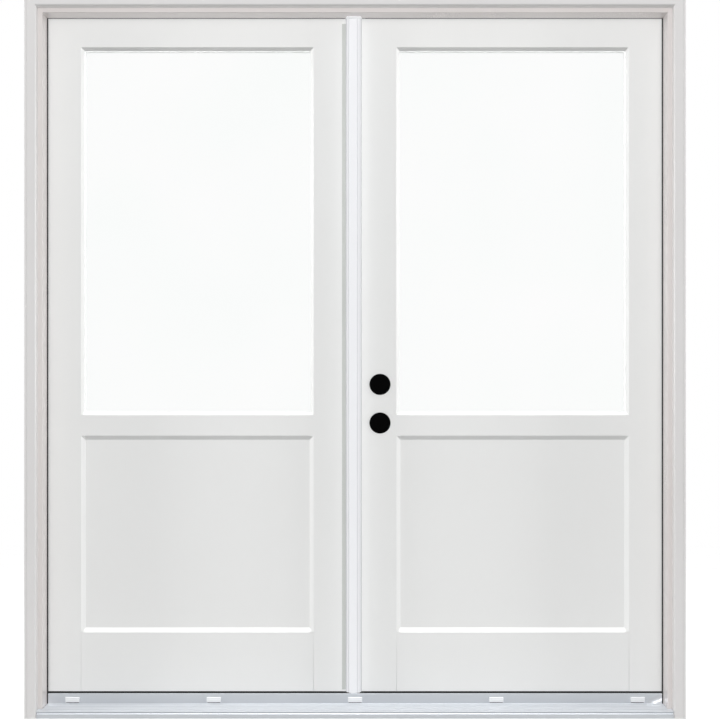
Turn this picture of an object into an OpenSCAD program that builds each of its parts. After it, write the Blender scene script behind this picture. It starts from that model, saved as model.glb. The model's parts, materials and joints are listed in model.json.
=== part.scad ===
// Inswing french doors in their frame: two half-lite leaves, sill, casing and T-astragal.
// +X is right seen from outside, -Y is outside, +Z is up. The origin is the middle of the
// sill's underside, in the plane of the casing's back.

/* [Door leaves] */
// Width of one leaf
leaf_w = 908; // [760:1:1060]
// Height of one leaf
leaf_h = 2004; // [1900:1:2300]
// Thickness of a leaf
leaf_t = 44.45; // [42:0.05:52]
// Width of a stile, up to the outer edge of its moulding
stile_w = 109; // [100:1:140]
// Height of the top rail
top_rail_h = 94.2; // [80:0.1:140]
// Height of the lock rail between glass and panel
lock_rail_h = 61.5; // [50:0.5:160]
// Height of the bottom rail
bottom_rail_h = 175; // [120:1:260]
// Height of the panel opening between the rails
panel_open_h = 582.5; // [400:0.5:700]

/* [Glass] */
// Width of the bevelled moulding round the glass
glass_bevel_w = 9; // [6:0.5:11]
// Depth of that bevel
glass_bevel_d = 7; // [5:0.5:8]
// Thickness of the lip that the glass is bedded against
glass_lip_t = 10; // [9:0.5:12]
// How far the glass reaches behind the lip
glass_bite = 12; // [9:0.5:14]
// Thickness of one pane
pane_t = 4; // [3:0.5:6]
// Thickness of the spacer between the panes
spacer_t = 12; // [8:1:14]
// Width of the spacer
spacer_w = 8; // [6:0.5:9]
// Thickness of the glazing tape
tape_t = 1.5; // [1:0.25:3]
// Air left between the glass edge and the wood
glass_air = 1.5; // [0.5:0.25:2.5]

/* [Panel] */
// Width of the bevelled moulding round the panel
panel_bevel_w = 12; // [8:0.5:16]
// Depth of that bevel
panel_bevel_d = 8; // [5:0.5:10]
// Square step between the bevel and the panel
panel_step = 2; // [1:0.25:4]
// How far the panel reaches into its groove
panel_tongue = 10; // [6:0.5:12]

/* [Frame] */
// Depth of the jambs, outside to inside
jamb_depth = 115.9; // [105:0.1:170]
// Thickness of a jamb at its stop
jamb_t = 31.75; // [28:0.25:38]
// Step from the stop's face to the rabbet's face
rabbet_step = 12.7; // [10:0.1:14]
// Space for the weatherstrip between stop and leaf
strip_gap = 6; // [5:0.25:8]
// Gap between a leaf and the rabbet, at the hinges and at the head
edge_gap = 3; // [2.5:0.25:4]
// Gap between the two leaves' edges, which holds the astragal's web
meeting_gap = 27.4; // [26:0.1:34]

/* [Casing] */
// Width of the casing
casing_w = 34; // [28:1:60]
// Thickness of the casing
casing_t = 31.75; // [25:0.25:38]
// Strip of jamb edge left showing beside the casing
reveal = 12; // [8:0.5:16]
// Radius of the casing's inner corner
casing_r = 6; // [3:0.5:8]
// Width of the sealant groove in the casing's back, beside the jamb
back_groove_w = 1.5; // [1:0.1:3]
// Depth of that groove
back_groove_d = 1.5; // [1:0.1:3]

/* [Sill] */
// Height of the sill up to the top of its riser
sill_h = 52.5; // [48:0.5:70]
// Height of the tread at the nose
nose_h = 20.5; // [18:0.5:24]
// Rise of the tread from the nose to the riser
tread_rise = 2.5; // [1:0.5:10]
// How far the nose reaches in front of the casing's back
nose_out = 30; // [20:1:31]
// How far the riser stands in front of the leaves
riser_lead = 7.5; // [6:0.5:12]
// Wall of the sill's aluminium
sill_wall = 2; // [1.5:0.25:3]
// Height of the sill's lip
lip_h = 12; // [8:0.5:14]
// Depth of the groove between lip and tread
lip_groove = 8; // [4:0.5:10]
// Thickness of the threshold cap
cap_t = 12.5; // [10:0.5:16]
// Depth of the hollow behind the riser
weep_hollow = 14; // [10:1:20]
// Pitch of the ribbed bands on the tread
rib_band_pitch = 26.4; // [20:0.1:30]
// Number of ribbed bands
rib_bands = 3; // [1:1:3]
// Pitch of the ribs in a band
rib_pitch = 4.2; // [3:0.1:6]
// Width of a rib
rib_w = 2.2; // [1:0.1:3]
// Height of a rib
rib_h = 0.9; // [0.4:0.1:1.5]

/* [Weep holes] */
// Number of weep holes
weeps = 5; // [1:2:7]
// Distance from the stop's face to the middle of the last weep hole
weep_end = 76; // [50:1:140]
// Width of a weep cover
weep_w = 42; // [30:1:60]
// Height of a weep cover
weep_h = 14.7; // [12:0.1:18]
// How far a weep cover stands out of the riser
weep_out = 6; // [4:0.5:8]
// Height of a weep cover's lower edge above the ground
weep_z = 28; // [26:0.5:32]
// Height of the weep hole
weep_hole_h = 8; // [5:0.5:9]

/* [Seals] */
// How far the weatherstrip stands proud of the stop's face
strip_proud = 3; // [1:0.25:4]
// How far the head's weatherstrip stands proud of the head's stop
head_strip_proud = 0.5; // [0.25:0.25:3]
// Width of the kerf that holds a seal
kerf_w = 3.2; // [2.5:0.1:4]
// Depth of that kerf
kerf_d = 8; // [6:0.5:9]
// Gap between the leaves and the threshold cap, filled by the sweep
sweep_gap = 5.5; // [5:0.5:9]
// Number of fins on a sweep
fins = 4; // [2:1:5]
// Thickness of a fin
fin_t = 1.6; // [1:0.1:2]
// Height of the foam pads at the ends of the riser
pad_h = 34.5; // [30:0.5:36]

/* [Astragal] */
// Width of the astragal's face
ast_w = 46.5; // [40:0.5:60]
// How far its face covers the active leaf
ast_lap = 5.8; // [5:0.1:14]
// How far it stands out of the leaves
ast_out = 34; // [20:0.5:36]
// Depth of its web between the leaves
web_d = 31; // [28:0.5:38]
// Wall of the extrusion
ast_wall = 2; // [1.5:0.25:3]
// Wall of the web against the passive leaf
web_wall = 2.5; // [2:0.25:3.5]
// Width of the lips at the web's mouth
web_lip = 4; // [3:0.5:6]
// Gap between the web and the active leaf
web_gap = 3; // [2.5:0.1:4]
// Thickness of the seal behind its face
seal_t = 3.25; // [2.5:0.05:4]
// Thickness of the cap on its top
ast_cap_t = 7; // [4:0.5:10]
// Rise of the rounded lower end at the sides
ast_round = 5; // [3:0.5:8]
// Width of the strip beside it on the passive leaf
side_strip_w = 11; // [6:0.5:16]
// Thickness of that strip
side_strip_t = 3; // [1.5:0.25:5]

/* [Flush bolts] */
// Diameter of a bolt's rod
rod_d = 9.5; // [8:0.1:12]
// Travel of a bolt
bolt_travel = 18; // [12:1:18]
// Length of a bolt's slide block
slide_l = 140; // [90:1:180]
// Height of the guide in the web's end
guide_h = 8; // [6:0.5:12]
// Length of the guide's spigot inside the web
spigot_l = 14; // [8:1:20]
// Thickness of a strike plate
strike_t = 2; // [1.5:0.25:3]
// Length of a strike plate
strike_l = 60; // [50:1:80]
// Width of a strike plate
strike_w = 25; // [20:1:30]

/* [Lock bores] */
// Diameter of a lock bore
bore_d = 54; // [50:0.5:56]
// Distance from the leaf's edge to the lock bore's axis
backset = 60.3; // [60:0.1:62]
// Height of the lower lock bore above the leaf's bottom
lock_h = 795.5; // [780:0.5:900]
// Distance between the two lock bores
bore_pitch = 114.5; // [100:0.5:140]
// Diameter of a latch bore in the leaf's edge
latch_d = 25.4; // [22:0.1:26]
// Diameter of the cover over a lock bore's outer mouth
cover_d = 62.5; // [60:0.5:66]
// Thickness of that cover at its rim
cover_t = 2.2; // [1.8:0.1:4]
// Wall of the cover in front of the bore
cover_wall = 1.4; // [1:0.1:1.6]

/* [Hinges] */
// Height of a hinge
hinge_h = 101.6; // [90:0.1:115]
// Width of a hinge plate
hinge_w = 31; // [26:0.5:34]
// Thickness of a hinge plate
hinge_t = 2.4; // [2:0.1:3]
// Diameter of the knuckles
knuckle_d = 14.4; // [13:0.1:16]
// Diameter of the hinge pin
pin_d = 6; // [5:0.1:6.5]
// From the leaf's top to the top hinge
hinge_top = 178; // [120:1:220]
// From the leaf's bottom to the bottom hinge
hinge_bottom = 279; // [200:1:320]
// Number of knuckles on a hinge
knuckles = 5; // [3:2:5]
// Length of the screws in the leaf
leaf_screw_l = 30; // [20:1:40]
// Length of the screws in the jamb
jamb_screw_l = 16; // [12:0.5:17]

/* [Other screws] */
// Length of the screws through the head into the jambs
head_screw_l = 60; // [45:1:80]
// Length of the screws through the jambs into the sill
sill_screw_l = 60; // [45:1:80]
// Length of the screws in a strike plate
strike_screw_l = 16; // [12:1:18]
// Length of the screws through the astragal's web
astragal_screw_l = 32; // [20:1:45]
// Radius of a screw's shank
screw_r = 2.1; // [1.6:0.1:2.5]
// Radius of a screw's head
screw_head_r = 4.2; // [3.2:0.1:4.6]
// Height of a screw's head
screw_head_h = 2.4; // [1.8:0.1:3]

/* [Clearances] */
// Between pieces that lie near each other but don't fit together
fit = 0.3; // [0.3:0.05:0.5]
// Radial, between a pin and its bore or a rod and its guide
running = 0.05; // [0.03:0.01:0.09]
// Radial, between a screw and its pilot hole
pilot = 0.05; // [0.02:0.01:0.1]

/* [Hidden] */
$fn = 48;
over = 1; // how far a cut runs past the face it opens

// Colours
paint = "#eceeec";
frame_paint = "#d9d2ce";
aluminium = "#c3c6cf";
cool_white = "#eceef6";
black = "#17171a";
nickel = "#b9b4aa";
clear = [0.85, 0.93, 0.92, 0.35];

// Leaf, drawn for the right side
leaf_x0 = meeting_gap / 2;
leaf_x1 = leaf_x0 + leaf_w;
leaf_y1 = jamb_depth;
leaf_y0 = leaf_y1 - leaf_t;
leaf_z0 = sill_h + sweep_gap;
leaf_z1 = leaf_z0 + leaf_h;
open_x0 = leaf_x0 + stile_w;
open_x1 = leaf_x1 - stile_w;
panel_z0 = leaf_z0 + bottom_rail_h;
panel_z1 = panel_z0 + panel_open_h;
glass_z0 = panel_z1 + lock_rail_h;
glass_z1 = leaf_z1 - top_rail_h;

// Depths inside the leaf
sweep_y = [leaf_y0 + leaf_t * 0.22, leaf_y0 + leaf_t * 0.78];
lip_y = leaf_y0 + glass_lip_t;
pane1_y = lip_y + tape_t;
spacer_y = pane1_y + pane_t;
pane2_y = spacer_y + spacer_t;
bead_y = pane2_y + pane_t;
rabbet_grow = glass_bite - glass_bevel_w;
panel_y0 = leaf_y0 + panel_bevel_d + panel_step;
panel_y1 = leaf_y1 - panel_bevel_d - panel_step;
panel_grow = panel_tongue - panel_bevel_w;

// Frame
rabbet_x = leaf_x1 + edge_gap;
stop_x = rabbet_x - rabbet_step;
jamb_x = stop_x + jamb_t;
stop_y = leaf_y0 - strip_gap;
rabbet_z = leaf_z1 + edge_gap;
stop_z = rabbet_z - rabbet_step;
head_z = stop_z + jamb_t;
casing_x = stop_x + reveal;
casing_z = stop_z + reveal;
mitre_x = casing_x + casing_w;
mitre_z = casing_z + casing_w;

// Sill
riser_y = leaf_y0 - riser_lead;
riser_back = riser_y + sill_wall;
cap_z = sill_h - cap_t;
hollow_y = riser_back + weep_hollow;
weep_pitch = 2 * (stop_x - weep_end) / max(weeps - 1, 1);
strip_y = leaf_y0 - fit; // where the seals and the riser's top flange end
pad_t = strip_proud;
strip_z0 = tread_z(riser_y) + pad_h;

// Astragal and bolts
ast_x1 = leaf_x0 + ast_lap;
ast_x0 = ast_x1 - ast_w;
ast_y0 = leaf_y0 - ast_out;
ast_y1 = leaf_y0 - seal_t;
web_x0 = -leaf_x0;
web_x1 = leaf_x0 - web_gap;
web_y1 = leaf_y0 + web_d;
channel_x0 = web_x0 + web_wall;
channel_x1 = web_x1 - ast_wall;
channel_y0 = leaf_y0 + web_wall;
channel_y1 = web_y1 - web_wall;
mouth_y0 = channel_y0 + web_lip;
mouth_y1 = channel_y1 - web_lip;
ast_z0 = leaf_z0 + 1;
ast_z1 = stop_z - 3 * fit - ast_cap_t;
web_z0 = leaf_z0 + guide_h;
web_z1 = leaf_z1 - guide_h;
strike_hole_r = rod_d / 2 + 1.5;
bolt_hole_r = rod_d / 2 + 2;
rod_x = (channel_x0 + channel_x1) / 2;
rod_y = (channel_y0 + channel_y1) / 2;
end_gap = 0.5; // bolt tip and guide behind the leaf's end
slide_gap = spigot_l + bolt_travel + 4;
slide_top = web_z1 - slide_gap;
slide_bottom = web_z0 + slide_gap;

// Hinges
pin_x = (leaf_x1 + rabbet_x) / 2;
knuckle_r = knuckle_d / 2;
pin_y = leaf_y1 + fit + knuckle_r;
pin_r = pin_d / 2;
knuckle_gap = 0.4;
knuckle_h = (hinge_h - (knuckles - 1) * knuckle_gap) / knuckles;
hinge_z = [
    leaf_z0 + hinge_bottom,
    (leaf_z0 + hinge_bottom + leaf_z1 - hinge_top - hinge_h) / 2,
    leaf_z1 - hinge_top - hinge_h,
];
// Screw places on a plate: height above its middle, distance from its knuckle edge
plate_screws = [[-0.38 * hinge_h, 10], [-0.14 * hinge_h, 21], [0.14 * hinge_h, 21], [0.38 * hinge_h, 10]];

lock_x = leaf_x0 + backset;
lock_z = [leaf_z0 + lock_h, leaf_z0 + lock_h + bore_pitch];

// ---------- Helpers ----------

// A box from its two corners on each axis
module block(x0, x1, y0, y1, z0, z1) {
    translate([x0, y0, z0]) cube([x1 - x0, y1 - y0, z1 - z0]);
}

// An outline drawn in (y, z), drawn out along X
module along_x(x0, x1) {
    translate([x0, 0, 0]) rotate([90, 0, 90]) linear_extrude(x1 - x0) children();
}

// An outline drawn in (x, z), drawn out along Y
module along_y(y0, y1) {
    translate([0, y1, 0]) rotate([90, 0, 0]) linear_extrude(y1 - y0) children();
}

// An outline drawn in (x, y), drawn out along Z
module along_z(z0, z1) {
    translate([0, 0, z0]) linear_extrude(z1 - z0) children();
}

module rod_along_z(x, y, r, z0, z1) {
    translate([x, y, z0]) cylinder(h = z1 - z0, r = r);
}

module rod_along_y(x, z, r, y0, y1) {
    translate([x, y0, z]) rotate([-90, 0, 0]) cylinder(h = y1 - y0, r = r);
}

module on_left() { mirror([1, 0, 0]) children(); }

module both_sides() {
    children();
    on_left() children();
}

// Rectangle whose sides lean inwards by w over the depth d, opened past the face at y
module bevel_cut(x0, x1, z0, z1, y, dir, w, d) {
    lean = w * over / d;
    ya = y - dir * over;
    yb = y + dir * d;
    intersection() {
        along_z(z0 - lean, z1 + lean)
            polygon([[x0 - lean, ya], [x1 + lean, ya], [x1 - w, yb], [x0 + w, yb]]);
        along_x(x0 - lean, x1 + lean)
            polygon([[ya, z0 - lean], [ya, z1 + lean], [yb, z1 - w], [yb, z0 + w]]);
    }
}

// The opening's rectangle, grown on all sides
module opening_block(z0, z1, grow, y0, y1) {
    block(open_x0 - grow, open_x1 + grow, y0, y1, z0 - grow, z1 + grow);
}

// A flat ring that follows the glass opening
module glass_ring(grow_out, grow_in, y0, y1) {
    difference() {
        opening_block(glass_z0, glass_z1, grow_out, y0, y1);
        opening_block(glass_z0, glass_z1, grow_in, y0 - over, y1 + over);
    }
}

// Countersunk screw, its head flush at the origin and its shank down -Z
module screw(length, grow = 0) {
    cross_l = 4.8;
    cross_w = 0.9;
    cross_d = 1.2;
    difference() {
        union() {
            translate([0, 0, -screw_head_h])
                cylinder(h = screw_head_h, r1 = screw_r + grow, r2 = screw_head_r + grow);
            translate([0, 0, -length]) cylinder(h = length - screw_head_h / 2, r = screw_r + grow);
            if (grow > 0) cylinder(h = over, r = screw_head_r + grow);
        }
        if (grow == 0)
            for (a = [0, 90]) rotate(a) translate([-cross_l / 2, -cross_w / 2, -cross_d])
                cube([cross_l, cross_w, cross_d + over]);
    }
}

// ---------- Leaf, drawn for the right side ----------

module glass_cut() {
    bevel_cut(open_x0, open_x1, glass_z0, glass_z1, leaf_y0, 1, glass_bevel_w, glass_bevel_d);
    opening_block(glass_z0, glass_z1, -glass_bevel_w, leaf_y0, lip_y + over);
    opening_block(glass_z0, glass_z1, rabbet_grow, lip_y, leaf_y1 + over);
}

module panel_cut() {
    bevel_cut(open_x0, open_x1, panel_z0, panel_z1, leaf_y0, 1, panel_bevel_w, panel_bevel_d);
    bevel_cut(open_x0, open_x1, panel_z0, panel_z1, leaf_y1, -1, panel_bevel_w, panel_bevel_d);
    opening_block(panel_z0, panel_z1, -panel_bevel_w, leaf_y0, leaf_y1);
    opening_block(panel_z0, panel_z1, panel_grow, panel_y0, panel_y1);
}

// Two grooves in the leaf's lower end that hold the sweep's barbs
module sweep_kerfs() {
    for (y = sweep_y)
        block(leaf_x0 - over, leaf_x1 + over, y - kerf_w / 2, y + kerf_w / 2,
            leaf_z0 - over, leaf_z0 + kerf_d + fit);
}

module leaf_cuts() {
    glass_cut();
    panel_cut();
    sweep_kerfs();
}

// A stile from xa to xb with its moulding standing into the openings towards xc
module stile(xa, xb, glass_edge, panel_edge) {
    difference() {
        union() {
            block(xa, xb, leaf_y0, leaf_y1, leaf_z0, leaf_z1);
            block(min(xa, glass_edge), max(xb, glass_edge), leaf_y0, lip_y, glass_z0, glass_z1);
            block(min(xa, panel_edge), max(xb, panel_edge), leaf_y0, leaf_y1, panel_z0, panel_z1);
        }
        leaf_cuts();
        children();
    }
}

module hinge_stile() {
    stile(open_x1, leaf_x1, open_x1 - glass_bevel_w, open_x1 - panel_bevel_w) {
        for (z = hinge_z) {
            plate_mortise(leaf_x1 - hinge_t, leaf_x1 + over, z);
            plate_screw_places(z) translate([leaf_x1, 0, 0]) rotate([0, 90, 0])
                screw(leaf_screw_l, pilot);
        }
    }
}

module meeting_stile() {
    stile(leaf_x0, open_x0, open_x0 + glass_bevel_w, open_x0 + panel_bevel_w) children();
}

// Rails fit between the stiles, and carry the moulding above and below them
module rail(z0, z1) {
    difference() {
        union() {
            block(open_x0, open_x1, leaf_y0, leaf_y1, z0, z1);
            if (z0 > glass_z0)
                block(open_x0 + glass_bevel_w, open_x1 - glass_bevel_w, leaf_y0, lip_y,
                    z0 - glass_bevel_w, z0);
            if (z1 == glass_z0)
                block(open_x0 + glass_bevel_w, open_x1 - glass_bevel_w, leaf_y0, lip_y,
                    z1, z1 + glass_bevel_w);
            if (z0 == panel_z1)
                block(open_x0 + panel_bevel_w, open_x1 - panel_bevel_w, leaf_y0, leaf_y1,
                    z0 - panel_bevel_w, z0);
            if (z1 == panel_z0)
                block(open_x0 + panel_bevel_w, open_x1 - panel_bevel_w, leaf_y0, leaf_y1,
                    z1, z1 + panel_bevel_w);
        }
        leaf_cuts();
    }
}

module top_rail() { rail(glass_z1, leaf_z1); }
module lock_rail() { rail(panel_z1, glass_z0); }
module bottom_rail() { rail(leaf_z0, panel_z0); }

module panel() {
    opening_block(panel_z0, panel_z1, panel_grow - fit, panel_y0, panel_y1);
}

module pane(y) {
    opening_block(glass_z0, glass_z1, rabbet_grow - glass_air, y, y + pane_t);
}

module spacer() {
    grow = rabbet_grow - glass_air;
    glass_ring(grow, grow - spacer_w, spacer_y, pane2_y);
}

module glazing_tape() {
    grow = rabbet_grow - glass_air;
    glass_ring(grow, 1 - glass_bevel_w, lip_y, pane1_y);
}

// Four beads that hold the glass from inside, the side ones between the others
module glazing_beads() {
    out = rabbet_grow;
    bead_joint = 0.2;
    for (part = ["top", "bottom", "left", "right"]) intersection() {
        difference() {
            opening_block(glass_z0, glass_z1, out, bead_y, leaf_y1);
            bevel_cut(open_x0, open_x1, glass_z0, glass_z1, leaf_y1, -1, glass_bevel_w, glass_bevel_d);
            opening_block(glass_z0, glass_z1, -glass_bevel_w, bead_y - over, leaf_y1);
        }
        if (part == "top")
            block(open_x0 - out, open_x1 + out, bead_y, leaf_y1,
                glass_z1 - glass_bevel_w + bead_joint, glass_z1 + out);
        else if (part == "bottom")
            block(open_x0 - out, open_x1 + out, bead_y, leaf_y1,
                glass_z0 - out, glass_z0 + glass_bevel_w - bead_joint);
        else {
            x = part == "left" ? open_x0 - out : open_x1 - glass_bevel_w;
            block(x, x + out + glass_bevel_w, bead_y, leaf_y1,
                glass_z0 + glass_bevel_w, glass_z1 - glass_bevel_w);
        }
    }
}

// Rubber carrier with fins below and barbs above
module sweep() {
    carrier_z = leaf_z0 - 2;
    y0 = leaf_y0 + 1;
    y1 = leaf_y1 - 4;
    block(leaf_x0 + 1, leaf_x1 - 1, y0, y1, carrier_z, leaf_z0);
    for (i = [0 : fins - 1]) {
        y = y0 + i * (y1 - y0 - fin_t) / (fins - 1);
        block(leaf_x0 + 1, leaf_x1 - 1, y, y + fin_t, sill_h + fit, leaf_z0 - over);
    }
    for (y = sweep_y)
        block(leaf_x0 + 1, leaf_x1 - 1, y - kerf_w / 2 + fit, y + kerf_w / 2 - fit,
            leaf_z0 - over, leaf_z0 + kerf_d);
}

// ---------- Hinges, drawn for the right side ----------

// Pocket in the wood for one plate
module plate_mortise(x0, x1, z) {
    block(x0, x1, leaf_y1 - hinge_w - fit, leaf_y1 + over, z - fit, z + hinge_h + fit);
}

module plate_screw_places(z) {
    for (p = plate_screws)
        translate([0, leaf_y1 - p[1], z + hinge_h / 2 + p[0]]) children();
}

// One half of a hinge: a plate, and the knuckles numbered in list
module hinge_half(x0, x1, z, list) {
    difference() {
        union() {
            block(x0, x1, leaf_y1 - hinge_w, leaf_y1, z, z + hinge_h);
            for (i = list) {
                kz = z + i * (knuckle_h + knuckle_gap);
                block(x0, x1, leaf_y1 - over, pin_y, kz, kz + knuckle_h);
                rod_along_z(pin_x, pin_y, knuckle_r, kz, kz + knuckle_h);
            }
        }
        rod_along_z(pin_x, pin_y, pin_r + running, z - over, z + hinge_h + over);
        children();
    }
}

module leaf_hinges() {
    for (z = hinge_z)
        hinge_half(leaf_x1 - hinge_t, leaf_x1, z, [1 : 2 : knuckles - 2])
            plate_screw_places(z) translate([leaf_x1, 0, 0]) rotate([0, 90, 0])
                screw(leaf_screw_l, pilot);
}

module frame_hinges() {
    for (z = hinge_z)
        hinge_half(rabbet_x, rabbet_x + hinge_t, z, [0 : 2 : knuckles - 1])
            plate_screw_places(z) translate([rabbet_x, 0, 0]) rotate([0, -90, 0])
                screw(jamb_screw_l, pilot);
}

module leaf_hinge_screws() {
    for (z = hinge_z) plate_screw_places(z)
        translate([leaf_x1, 0, 0]) rotate([0, 90, 0]) screw(leaf_screw_l);
}

module jamb_screws_of_one_side() {
    for (z = hinge_z) plate_screw_places(z)
        translate([rabbet_x, 0, 0]) rotate([0, -90, 0]) screw(jamb_screw_l);
}

module pins_of_one_side() {
    button_r = pin_r + 2;
    button_h = 3;
    for (z = hinge_z) {
        rod_along_z(pin_x, pin_y, pin_r, z - over, z + hinge_h + over);
        rod_along_z(pin_x, pin_y, button_r, z - button_h, z);
        rod_along_z(pin_x, pin_y, button_r, z + hinge_h, z + hinge_h + button_h);
    }
}

// ---------- Frame ----------

// Screws through the head into the ends of the side jambs
module head_screw_places() {
    for (y = [0.17, 0.5, 0.83]) translate([(rabbet_x + jamb_x) / 2, y * jamb_depth, head_z]) children();
}

// Screws through the side jambs into the sill
module sill_screw_places() {
    for (y = [0.15, 0.85])
        translate([jamb_x, y * jamb_depth, nose_h / 2 + 1]) rotate([0, 90, 0]) children();
}

module side_jamb() {
    difference() {
        along_z(0, rabbet_z) polygon([
            [stop_x, 0], [jamb_x, 0], [jamb_x, jamb_depth], [rabbet_x, jamb_depth],
            [rabbet_x, stop_y], [stop_x, stop_y],
        ]);
        block(rabbet_x - kerf_w, rabbet_x, stop_y - kerf_d - fit, stop_y + over, -over, rabbet_z + over);
        for (z = hinge_z) {
            plate_mortise(rabbet_x - over, rabbet_x + hinge_t, z);
            plate_screw_places(z) translate([rabbet_x, 0, 0]) rotate([0, -90, 0])
                screw(jamb_screw_l, pilot);
        }
        head_screw_places() screw(head_screw_l, pilot);
        sill_screw_places() screw(sill_screw_l, pilot);
    }
}

module head_jamb_body() {
    difference() {
        union() {
            block(-jamb_x, jamb_x, 0, jamb_depth, rabbet_z, head_z);
            block(-stop_x, stop_x, 0, stop_y, stop_z, rabbet_z + over);
        }
        block(-stop_x - over, stop_x + over, stop_y - kerf_d - fit, stop_y + over,
            rabbet_z - kerf_w, rabbet_z);
        both_sides() head_screw_places() screw(head_screw_l, pilot);
        rod_along_z(rod_x, rod_y, bolt_hole_r, rabbet_z - over, head_z + over);
        strike_plate_box(rabbet_z - over, rabbet_z + strike_t, fit);
        strike_screw_places() translate([0, 0, rabbet_z]) rotate([180, 0, 0]) screw(strike_screw_l, pilot);
    }
}

// Casing section: x from its inner edge outwards, y from its back forwards
module casing_section() {
    bead_w = 6;
    quirk_w = 1.6;
    quirk_d = 1.5;
    outer_r = 2;
    difference() {
        translate([0, -casing_t]) square([casing_w, casing_t]);
        translate([jamb_t - reveal, -back_groove_d]) square([back_groove_w, back_groove_d + over]);
        // rounded inner corner
        translate([-over, -casing_t - over]) difference() {
            square(casing_r + over);
            translate([casing_r + over, casing_r + over]) circle(casing_r);
        }
        // quirk beside the outer bead
        translate([casing_w - bead_w - quirk_w, -casing_t - over]) square([quirk_w, over + quirk_d]);
        // rounded outer corner
        translate([casing_w - outer_r, -casing_t - over]) difference() {
            square([outer_r + over, outer_r + over]);
            translate([0, outer_r + over]) circle(outer_r);
        }
    }
}

module side_casing() {
    intersection() {
        along_z(0, mitre_z) translate([casing_x, 0]) casing_section();
        along_y(-casing_t - over, over)
            polygon([[casing_x, 0], [mitre_x, 0], [mitre_x, mitre_z], [casing_x, casing_z]]);
    }
}

module head_casing_body() {
    intersection() {
        along_x(-mitre_x, mitre_x) translate([0, casing_z]) rotate(90) mirror([0, 1]) casing_section();
        along_y(-casing_t - over, over)
            polygon([[-casing_x, casing_z], [casing_x, casing_z], [mitre_x, mitre_z], [-mitre_x, mitre_z]]);
    }
}

// ---------- Sill ----------

function tread_z(y) = nose_h + tread_rise * (y + nose_out) / (riser_y + nose_out);

// Room for one jamb and for the casing's leg at the sill's end
module sill_end_cut(inner) {
    block(inner, jamb_x + over, -fit, stop_y + fit, -over, sill_h + over);
    block(rabbet_x - fit, jamb_x + over, -fit, jamb_depth + over, -over, sill_h + over);
    block(casing_x - fit, jamb_x + over, -nose_out - over, 0, -over, sill_h + over);
}

module sill_section() {
    polygon([
        [-nose_out, 0], [-nose_out, lip_h], [-nose_out + lip_groove, lip_h],
        [-nose_out + lip_groove, nose_h - sill_wall], [-nose_out, nose_h - sill_wall],
        [-nose_out, nose_h], [riser_y, tread_z(riser_y)], [riser_y, sill_h],
        [strip_y, sill_h], [strip_y, sill_h - sill_wall],
        [riser_back, sill_h - sill_wall], [riser_back, tread_z(riser_back) - sill_wall],
        [-nose_out + lip_groove + sill_wall, nose_h - sill_wall],
        [-nose_out + lip_groove + sill_wall, lip_h - sill_wall],
        [-nose_out + sill_wall, lip_h - sill_wall], [-nose_out + sill_wall, 0],
    ]);
}

module rib_section() {
    slope = atan(tread_rise / (riser_y + nose_out));
    for (i = [0 : rib_bands - 1], j = [-1 : 1]) {
        y = riser_y - 14 - i * rib_band_pitch + j * rib_pitch;
        translate([y, tread_z(y)]) rotate(slope) translate([-rib_w / 2, -rib_h]) square([rib_w, 2 * rib_h]);
    }
}

module weep_places() {
    for (i = [0 : weeps - 1]) translate([(i - (weeps - 1) / 2) * weep_pitch, 0, 0]) children();
}

module sill_extrusion_body() {
    weep_hole_z = weep_z - 3;
    difference() {
        union() {
            along_x(-casing_x + fit, casing_x - fit) sill_section();
            along_x(-casing_x + fit, casing_x - fit) rib_section();
        }
        both_sides() sill_end_cut(stop_x - fit);
        both_sides() block(stop_x - pad_t, jamb_x, riser_y - over, leaf_y0,
            tread_z(riser_y) - 0.1, sill_h + over);
        weep_places() block(-weep_w / 2 + 2, weep_w / 2 - 2, riser_y - over, riser_back + over,
            weep_hole_z, weep_hole_z + weep_hole_h);
    }
}

module sill_base_body() {
    front = -nose_out + lip_groove + sill_wall;
    difference() {
        along_x(-rabbet_x, rabbet_x) polygon([
            [front, 0], [front, nose_h - sill_wall], [riser_back, tread_z(riser_back) - sill_wall],
            [hollow_y, tread_z(riser_back) - sill_wall], [hollow_y, cap_z],
            [jamb_depth, cap_z], [jamb_depth, 0],
        ]);
        both_sides() sill_end_cut(stop_x - fit);
        both_sides() sill_screw_places() screw(sill_screw_l, pilot);
        rod_along_z(rod_x, rod_y, bolt_hole_r, sill_h - bolt_travel - 4, sill_h);
        strike_screw_places() translate([0, 0, sill_h]) screw(strike_screw_l, pilot);
    }
}

// Rest of the sill's top, on which the sweeps close
module threshold_cap_body() {
    under = 3; // chamfer below, towards the riser
    edge = 4; // chamfer above, towards the room
    difference() {
        along_x(-rabbet_x, rabbet_x) polygon([
            [leaf_y0, cap_z + under], [leaf_y0, sill_h], [jamb_depth - edge, sill_h],
            [jamb_depth, sill_h - edge], [jamb_depth, cap_z], [leaf_y0 + under, cap_z],
        ]);
        both_sides() sill_end_cut(stop_x - fit);
        rod_along_z(rod_x, rod_y, bolt_hole_r, 0, sill_h + over);
        strike_plate_box(sill_h - strike_t, sill_h + over, fit);
        strike_screw_places() translate([0, 0, sill_h]) screw(strike_screw_l, pilot);
    }
}

// Hood over a weep hole, open below
module weep_cover() {
    y0 = riser_y - weep_out;
    top = weep_z + weep_h;
    edge = 2;
    wall = 1.8;
    groove_z = weep_z + 7.5; // groove across the front
    groove_h = 2;
    groove_d = 1.2;
    slope = 0.5;
    roof = weep_z + weep_hole_h - 2;
    along_x(-weep_w / 2, weep_w / 2) polygon([
        [riser_y, top], [y0 + edge, top], [y0, top - edge],
        [y0, groove_z + groove_h], [y0 + groove_d, groove_z + groove_h - slope],
        [y0 + groove_d, groove_z + slope], [y0, groove_z],
        [y0, weep_z], [y0 + wall, weep_z], [y0 + wall, roof], [riser_y, roof],
    ]);
}

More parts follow.
